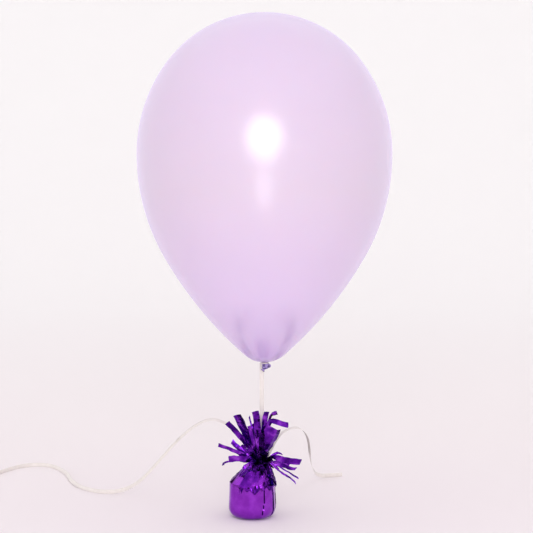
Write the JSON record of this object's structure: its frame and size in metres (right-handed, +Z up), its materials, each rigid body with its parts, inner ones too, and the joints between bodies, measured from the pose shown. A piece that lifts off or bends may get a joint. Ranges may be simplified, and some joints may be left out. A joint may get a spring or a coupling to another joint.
{
  "type": "latex balloon",
  "caption": "Inflated latex balloon on a flat curling ribbon, tied to a foil-wrapped weight with a tuft of foil fringe.",
  "frame": {"origin": "on the floor, under the middle of the balloon", "axes": "+Z up along the balloon's axis; -Y is the front, with the weight a little to -X of the axis"},
  "size_m": [0.5501, 0.4045, 0.5563],
  "materials": {
    "latex": "pearl",
    "latex_unstretched": "satin",
    "ribbon": "gloss",
    "foil_wrap": "metallised film",
    "foil_fringe": "metallised film",
    "cup_plastic": "moulded",
    "lid_card": "matte",
    "filling": "matte",
    "band_rubber": "satin"
  },
  "bodies": {
    "weight": {"cup_lid": "lid_card", "foil_gather": "foil_wrap", "foil_skirt": "foil_wrap", "foil_wrap": "foil_wrap", "low_strip_01": "foil_fringe", "low_strip_02": "foil_fringe", "low_strip_03": "foil_fringe", "low_strip_04": "foil_fringe", "low_strip_05": "foil_fringe", "low_strip_06": "foil_fringe", "low_strip_07": "foil_fringe", "low_strip_08": "foil_fringe", "low_strip_09": "foil_fringe", "low_strip_10": "foil_fringe", "low_strip_11": "foil_fringe", "low_strip_12": "foil_fringe", "low_strip_13": "foil_fringe", "low_strip_14": "foil_fringe", "low_strip_15": "foil_fringe", "neck_band": "band_rubber", "ribbon_stub": "ribbon", "ribbon_tail_coil": "ribbon", "ribbon_tail_left": "ribbon", "ribbon_tail_right": "ribbon", "ribbon_tie_knot": "ribbon", "ribbon_tie_loop": "ribbon", "sand_fill": "filling", "side_strip_01": "foil_fringe", "side_strip_02": "foil_fringe", "side_strip_03": "foil_fringe", "side_strip_04": "foil_fringe", "side_strip_05": "foil_fringe", "side_strip_06": "foil_fringe", "side_strip_07": "foil_fringe", "side_strip_08": "foil_fringe", "side_strip_09": "foil_fringe", "side_strip_10": "foil_fringe", "side_strip_11": "foil_fringe", "top_strip_01": "foil_fringe", "top_strip_02": "foil_fringe", "top_strip_03": "foil_fringe", "top_strip_04": "foil_fringe", "top_strip_05": "foil_fringe", "top_strip_06": "foil_fringe", "top_strip_07": "foil_fringe", "top_strip_08": "foil_fringe", "top_strip_09": "foil_fringe", "top_strip_10": "foil_fringe", "weight_cup": "cup_plastic"},
    "ribbon_foot_link": {"ribbon_foot": "ribbon"},
    "ribbon_riser_link": {"ribbon_riser": "ribbon"},
    "ribbon_head_link": {"ribbon_head": "ribbon"},
    "balloon": {"balloon_skin": "latex", "balloon_knot": "latex_unstretched", "neck_tail": "latex_unstretched", "mouth_bead": "latex_unstretched", "ribbon_neck_loop": "ribbon", "ribbon_top_knot": "ribbon", "ribbon_lead": "ribbon"}
  },
  "joints": [
    {"name": "ribbon_foot_twist", "type": "hinge", "parent": "weight", "child": "ribbon_foot_link", "pos_m": [-0.003, 0.0056, 0.108], "axis": [0, 0, 1], "range_deg": [-180, 180]},
    {"name": "ribbon_lean", "type": "hinge", "parent": "ribbon_foot_link", "child": "ribbon_riser_link", "pos_m": [-0.003, 0.0056, 0.118], "axis": [1, 0, 0], "range_deg": [-40, 40], "stiffness_Nm_per_rad": 0.6},
    {"name": "ribbon_head_twist", "type": "hinge", "parent": "ribbon_riser_link", "child": "ribbon_head_link", "pos_m": [-0.003, 0.0056, 0.15], "axis": [0, 0, 1], "range_deg": [-180, 180]},
    {"name": "balloon_tilt", "type": "hinge", "parent": "ribbon_head_link", "child": "balloon", "pos_m": [-0.003, 0.0056, 0.16], "axis": [1, 0, 0], "range_deg": [-35, 35], "stiffness_Nm_per_rad": 0.6}
  ]
}
